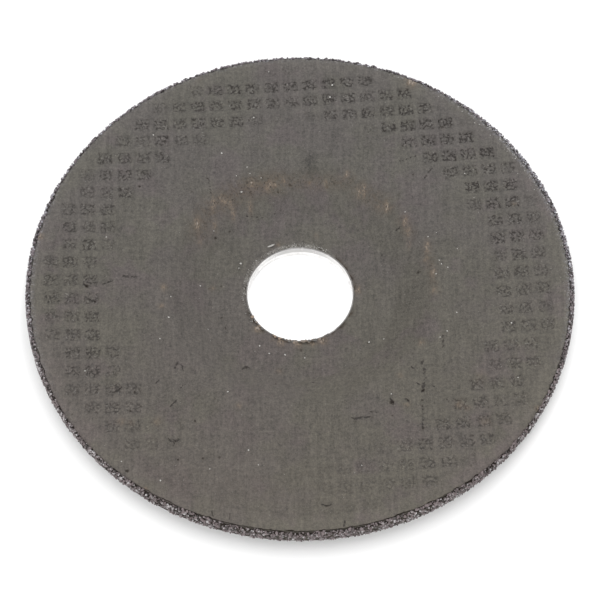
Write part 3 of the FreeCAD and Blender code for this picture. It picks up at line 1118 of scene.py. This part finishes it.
def on_path(path, along):
    """The point that far along a path in section, and the way into the material there."""
    for start, end in zip(path, path[1:]):
        run = (end - start).length
        if along <= run:
            break
        along -= run
    ahead = (end - start) / run
    return start + ahead * min(along, run), Vector((ahead.y, -ahead.x))


def rim_place(form, grit, path, draw):
    """A grain bedded in the rim beyond the moat, and how far it lies from the front's skin."""
    radius = grain_radius(grit, draw)
    bearing = draw.uniform(-math.pi, math.pi)
    across, along = math.cos(bearing), math.sin(bearing)
    cloud = noise.noise((across * MOAT_RATE, along * MOAT_RATE, 2.0))
    moat = grit.moat * max(0.2, 1 - 0.3 * along + 1.2 * cloud)
    moat -= MOAT_FILL * frosting(math.degrees(bearing))
    length = sum((end - start).length for start, end in zip(path, path[1:]))
    reach = moat + (length - moat) * draw.random()
    point, inward = on_path(path, reach)
    height = point.y / MM
    lump = noise.noise((LUMP_RATE * across, LUMP_RATE * along, height * 0.6))
    lump += 1.15 * noise.noise((CLOD_RATE * across, CLOD_RATE * along, height * 1.2))
    if reach < SHALLOW_REACH:
        bury = draw.uniform(*SHALLOW_BED)
    else:
        bury = draw.choice(BED_DEPTHS) + draw.uniform(-BED_SPREAD, BED_SPREAD)
    lost = (0.60 + 0.30 * max(along, 0)) * max(lump - 0.14, 0) + 0.12 * max(along, 0) ** 3
    lost *= 1 - lobes(math.degrees(bearing), STANDING)
    point = point + inward * (radius * bury + lost * MM)
    where = (point.x * across, point.x * along, point.y)
    return grain_matrix(where, radius, draw), (reach - moat) / MM


def rim_tint(from_skin, frost, draw):
    """How light a rim grain is, from 0 to 1: darker beside the skin, lighter where dust lies."""
    tint = draw.random() * min(1, 0.70 + 0.50 * from_skin)
    if tint > DARKEST_DUSTED:
        return tint + 0.55 * frost * (1 - tint)
    return 0.5 * tint


def polar(reach, bearing, height):
    """The place at a distance from the axis and a bearing in radians."""
    return reach * math.cos(bearing), reach * math.sin(bearing), height


def bounded(form, mesh, low=0.0):
    """Holds a piece's points to the wheel's reach, above low and below its front face."""
    points = points_of(mesh)
    radius = np.hypot(points[:, 0], points[:, 1])
    points[:, :2] *= np.minimum(1, (form.wheel_radius - REACH_SPARE) / radius)[:, None]
    points[:, 2] = np.clip(points[:, 2], low, form.front_face)
    mesh.vertices.foreach_set("co", points.ravel())


class GrainBed:
    """Grains that wait to be made into one piece, with each one's place and tint."""

    def __init__(self, seed):
        self.draw = random.Random(seed)
        self.places = []
        self.tints = []

    def lay(self, place, tint):
        """Adds a grain that lies as its matrix says."""
        self.places.append(place)
        self.tints.append(tint)

    def bed(self, where, radius, tint):
        """Adds a grain turned at random."""
        self.lay(grain_matrix(where, radius, self.draw), tint)

    def make(self, name, material, form, low=0.0):
        """Makes the piece."""
        bm, corners = scattered(self.places, self.draw)
        piece = as_piece(name, bm, material, "resin_bonded_grit", smooth=False)
        bounded(form, piece.data, low)
        paint(piece.data, "tint", np.repeat(self.tints, corners))


def bed_white_specks(form, grains):
    """The pale grit in the face."""
    for across, along, radius in WHITE_SPECKS:
        height = front_height(form, math.hypot(across, along) * MM) - 0.3 * radius * MM
        grains.bed((across * MM, along * MM, height), 0.80 * radius * MM, 0.0)


def bed_bore_crumbs(form, grains):
    """Fine crumbs along the bore's far edge."""
    draw = grains.draw
    for _ in range(BORE_CRUMBS):
        bearing = math.radians(draw.uniform(60, 220))
        reach = form.bore_radius + form.ring_sheet + draw.uniform(0.06, 1.0) * MM
        where = polar(reach, bearing, form.hub_face)
        grains.bed(where, draw.uniform(0.06, 0.15) * MM, draw.choice((0.2, 0.3, 0.4, 0.45)))


def bed_ring_crumbs(form, grains):
    """Flat crumbs of resin and rust on the ring's near edge."""
    draw = grains.draw
    flat = Matrix.Diagonal((1, 1, 0.3, 1))
    for _ in range(RING_CRUMBS):
        bearing = math.radians(draw.gauss(268, 26))
        radius = draw.uniform(0.16, 0.50) * MM
        reach = form.bore_radius + radius - draw.uniform(0.0, 0.24) * MM
        where = polar(reach, bearing, form.ring_top + 0.08 * MM)
        lie = Matrix.Translation(where) @ flat @ grain_matrix((0, 0, 0), radius, draw)
        grains.lay(lie, draw.choice((0.5, 0.5, 0.75, 0.75, 1.0)))


def bed_margin_grains(form, grains):
    """Pale grit beside the far rim."""
    draw = grains.draw
    for _ in range(MARGIN_GRAINS):
        bearing = math.radians(draw.gauss(34, 17))
        reach = form.wheel_radius - form.skin_setback - abs(draw.gauss(0.1, 0.7)) * MM
        where = polar(reach, bearing, form.front_face - 0.06 * MM)
        grains.bed(where, draw.uniform(0.08, 0.17) * MM, draw.choice((0.0, 0.15, 0.3)))


def lay_sliver(form, grains):
    """The torn fibre beside the bore."""
    across, along, length, width, turn, dip = BORE_SLIVER
    lie = Matrix.Rotation(math.radians(turn), 4, "Z") @ Matrix.Rotation(math.radians(dip), 4, "Y")
    stretch = Matrix.Diagonal((length / 2 * MM, width / 2 * MM, width / 3 * MM, 1))
    sliver = Matrix.Translation((across * MM, along * MM, form.hub_face + 0.15 * MM))
    grains.lay(sliver @ lie @ stretch, 0.0)


class WHEEL_OT_abrasive_disc(bpy.types.Operator):
    """Turns the moulded disc, presses the net into it and gives it its wear"""

    bl_idname = "wheel.abrasive_disc"
    bl_label = "Abrasive disc"

    def execute(self, context):
        scene = context.scene
        disc = as_piece("abrasive_disc", joined(disc_zones(scene.wheel_form)),
                        skin_finish(scene.finishes), "resin_bonded_grit", "abrasive_wheel")
        weather(scene.wheel_form, scene.net_weave, disc.data)
        return {"FINISHED"}


class WHEEL_OT_rim_grains(bpy.types.Operator):
    """Beds broken grains all round the cutting rim"""

    bl_idname = "wheel.rim_grains"
    bl_label = "Rim grains"

    def execute(self, context):
        form, grit = context.scene.wheel_form, context.scene.rim_grit
        grains = GrainBed(grit.seed)
        path = rim_path(form)
        for _ in range(grit.count):
            place, from_skin = rim_place(form, grit, path, grains.draw)
            centre = place.translation
            frost = frosting(math.degrees(math.atan2(centre.y, centre.x)))
            grains.lay(place, rim_tint(from_skin, frost, grains.draw))
        low = form.front_face - form.hub_face + 0.03 * MM
        grains.make("rim_grains", grit_finish(context.scene.finishes), form, low)
        return {"FINISHED"}


class WHEEL_OT_face_grit(bpy.types.Operator):
    """Beds pale specks in the face, crumbs round the bore and a torn sliver beside it"""

    bl_idname = "wheel.face_grit"
    bl_label = "Face grit"

    def execute(self, context):
        form = context.scene.wheel_form
        grains = GrainBed(context.scene.rim_grit.seed + 1)
        bed_white_specks(form, grains)
        bed_bore_crumbs(form, grains)
        bed_ring_crumbs(form, grains)
        bed_margin_grains(form, grains)
        lay_sliver(form, grains)
        grains.make("face_grit", pale_finish(context.scene.finishes), form)
        return {"FINISHED"}


class WHEEL_OT_bore_ring(bpy.types.Operator):
    """Turns the pressed steel ring that lines the bore"""

    bl_idname = "wheel.bore_ring"
    bl_label = "Bore ring"

    def execute(self, context):
        scene = context.scene
        form = scene.wheel_form
        inner, outer = form.bore_radius, form.bore_radius + form.ring_sheet
        mouth_bend = form.ring_bend + form.ring_sheet
        profile = [(inner, z) for z in levels(form.ring_top - MOUTH_WEAR, mouth_bend * 1.05, 9)]
        profile += arc((inner + mouth_bend, mouth_bend), mouth_bend, 180, 270, 7)
        profile += [(form.flange_radius - FLANGE_BREAK, 0.0), (form.flange_radius, FLANGE_BREAK),
                    (form.flange_radius, form.ring_sheet)]
        profile += arc((outer + form.ring_bend, form.ring_sheet + form.ring_bend),
                       form.ring_bend, 270, 180, 5)
        profile += [(outer, form.ring_top), (inner + MOUTH_WEAR, form.ring_top)]
        bm = turned(profile, RING_STEPS, closed=True)
        bmesh.ops.recalc_face_normals(bm, faces=bm.faces)
        for edge in bm.edges:
            edge.smooth = edge.calc_face_angle(0.0) < SMOOTH_BEND
        as_piece("steel_ring", bm, tin_finish(scene.finishes), "tinned_steel", "bore_ring")
        return {"FINISHED"}


def aim(thing, look):
    """Turns a lamp or a camera to look along a direction."""
    thing.rotation_mode = "QUATERNION"
    thing.rotation_quaternion = look.to_track_quat("-Z", "Y")


def soft_light(name, where, size, power):
    """A square area light aimed at the wheel."""
    data = bpy.data.lights.new(name, "AREA")
    data.shape = "SQUARE"
    data.size = size
    data.energy = power
    lamp = set_down(name, data)
    lamp.location = where
    lamp.visible_camera = False
    aim(lamp, -Vector(where))


def lay_floor(material):
    """A wide flat floor under the wheel."""
    bm = bmesh.new()
    bmesh.ops.create_grid(bm, x_segments=8, y_segments=8, size=3.0)
    floor = set_down("floor", as_mesh("floor", bm))
    floor.data.materials.append(material)


def fill_air(scene, strength):
    """Even white light all round."""
    world = bpy.data.worlds.new("studio_air")
    world.use_nodes = True
    background = world.node_tree.nodes["Background"]
    background.inputs["Color"].default_value = (1.0, 1.0, 1.0, 1.0)
    background.inputs["Strength"].default_value = strength
    scene.world = world


def set_camera(scene, studio, height):
    """The camera, at its distance from the point of the axis at that height."""
    camera = bpy.data.cameras.new("camera")
    camera.sensor_width = 36.0
    camera.lens = studio.lens
    camera.clip_start, camera.clip_end = 0.01, 20.0
    viewer = set_down("camera", camera)
    rise = studio.elevation
    off = Vector((0, -math.cos(rise), math.sin(rise)))
    viewer.location = Vector((0, 0, height)) + studio.distance * off
    aim(viewer, Vector((0, math.cos(rise + studio.dip), -math.sin(rise + studio.dip))))
    scene.camera = viewer


class WHEEL_OT_studio(bpy.types.Operator):
    """Sets the pale floor, the soft lights and the camera"""

    bl_idname = "wheel.studio"
    bl_label = "Studio"

    def execute(self, context):
        scene = context.scene
        studio = scene.studio_setup
        lay_floor(floor_finish(scene.finishes))
        fill_air(scene, studio.sky)
        for name, where, size in LAMPS:
            soft_light(name, where, size, getattr(studio, name))
        scene.view_settings.view_transform = "Standard"
        set_camera(scene, studio, scene.wheel_form.front_face)
        return {"FINISHED"}


class WHEEL_PT_panel(bpy.types.Panel):
    """Lists the wheel's sizes, finishes and pieces"""

    bl_label = "Cut-off wheel"
    bl_idname = "WHEEL_PT_panel"
    bl_space_type = "VIEW_3D"
    bl_region_type = "UI"
    bl_category = "Cut-off wheel"

    def draw(self, context):
        layout = self.layout
        for piece in PIECES:
            layout.operator(piece.bl_idname)
        for group in SETTINGS:
            column = layout.column(align=True)
            settings = getattr(context.scene, group)
            for name in settings.bl_rna.properties.keys():
                if name not in ("rna_type", "name"):
                    column.prop(settings, name)


PIECES = (
    WHEEL_OT_studio,
    WHEEL_OT_abrasive_disc,
    WHEEL_OT_rim_grains,
    WHEEL_OT_face_grit,
    WHEEL_OT_bore_ring,
)
SETTINGS = {
    "wheel_form": WheelForm,
    "net_weave": NetWeave,
    "rim_grit": RimGrit,
    "finishes": Finishes,
    "studio_setup": StudioSetup,
}


def register():
    """Adds the settings, operators and panel."""
    for name, group in SETTINGS.items():
        bpy.utils.register_class(group)
        setattr(bpy.types.Scene, name, PointerProperty(type=group))
    for kind in (*PIECES, WHEEL_PT_panel):
        bpy.utils.register_class(kind)


def unregister():
    """Takes the settings, operators and panel away again."""
    for kind in reversed((*PIECES, WHEEL_PT_panel)):
        bpy.utils.unregister_class(kind)
    for name, group in reversed(SETTINGS.items()):
        delattr(bpy.types.Scene, name)
        bpy.utils.unregister_class(group)


def main():
    """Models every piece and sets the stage."""
    register()
    bpy.ops.wheel.studio()
    bpy.ops.wheel.abrasive_disc()
    bpy.ops.wheel.rim_grains()
    bpy.ops.wheel.face_grit()
    bpy.ops.wheel.bore_ring()


if __name__ == "__main__":
    main()
